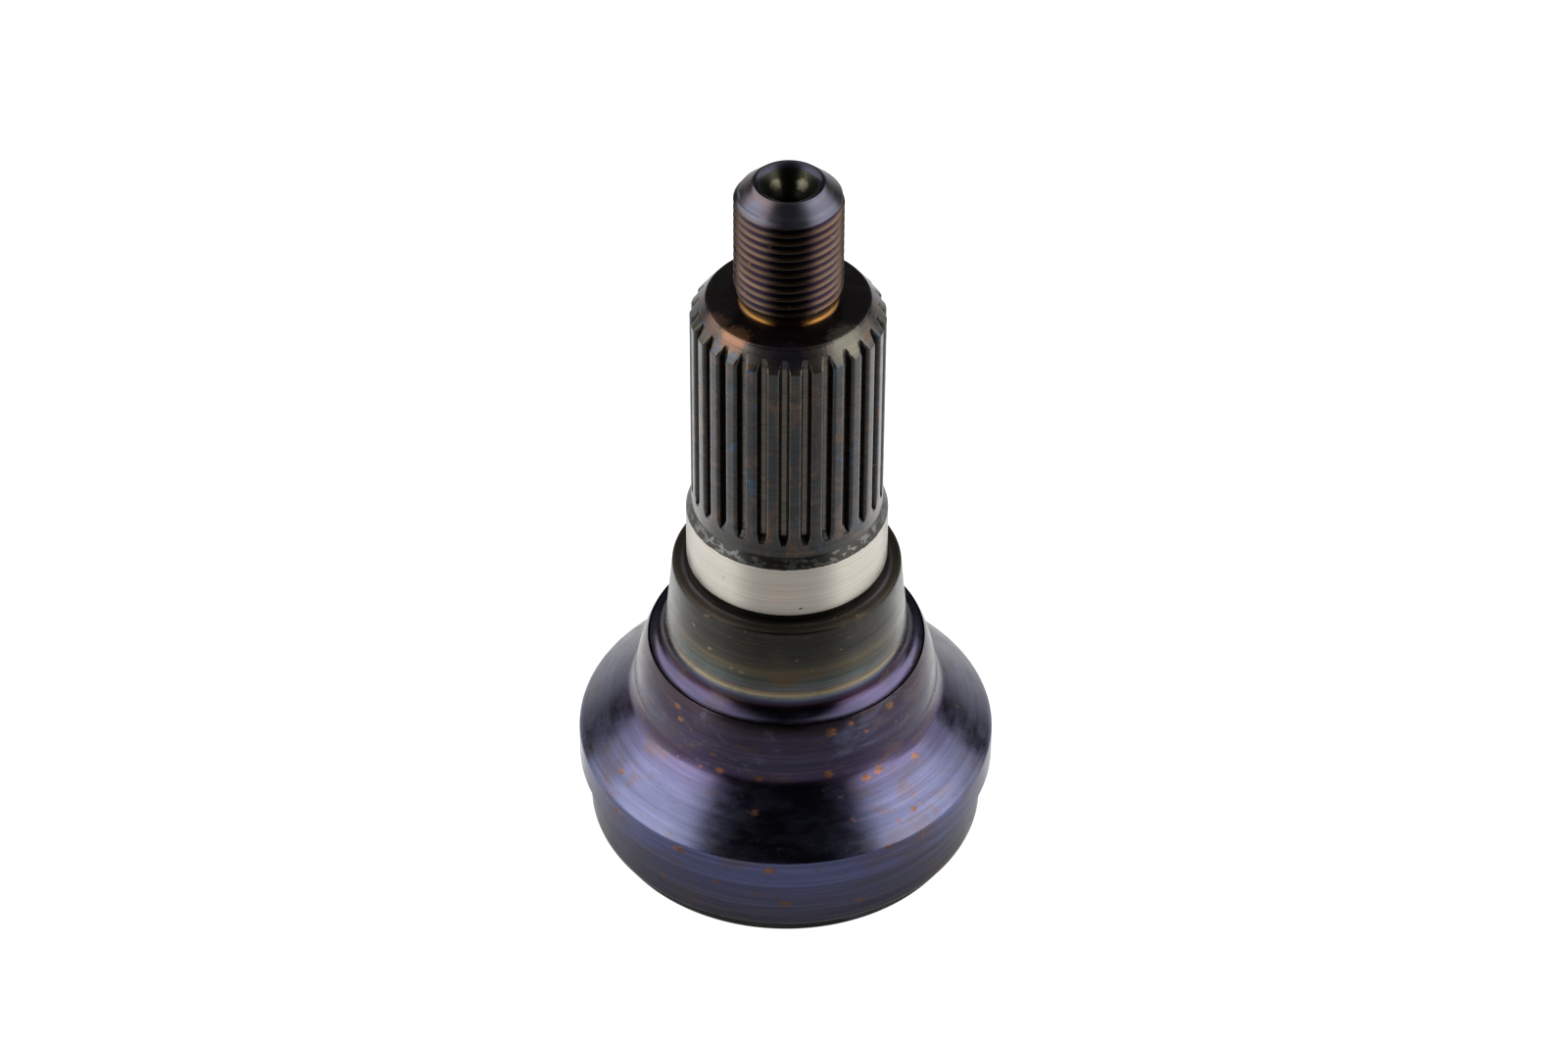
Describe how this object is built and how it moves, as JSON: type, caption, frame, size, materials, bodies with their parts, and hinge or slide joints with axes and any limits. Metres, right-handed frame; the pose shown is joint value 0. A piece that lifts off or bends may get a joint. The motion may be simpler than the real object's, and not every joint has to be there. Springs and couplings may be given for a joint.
{
  "type": "midship tube shaft",
  "caption": "Forged steel midship tube shaft: flared tube seat, stop collar, ground bearing journal, external spline and threaded end.",
  "frame": {"origin": "centre of the bottom edge of the tube seat, on the shaft axis", "axes": "+Z along the shaft axis from the tube seat to the threaded end; the front of the picture is -Y"},
  "size_m": [0.0635, 0.0634, 0.1203],
  "materials": {
    "seat": "dark satin, heat tinted",
    "body": "blue violet heat tint with brown spots",
    "collar": "dark grey with straw and blue tint at its foot",
    "journal": "ground, fine lines round it",
    "spline": "dark grey satin",
    "thread": "dark grey with straw tint"
  },
  "bodies": {
    "root": {"tube_seat": "seat", "flared_body": "body", "stop_collar": "collar", "bearing_journal": "journal", "spline_section": "spline", "threaded_end": "thread"}
  },
  "joints": []
}
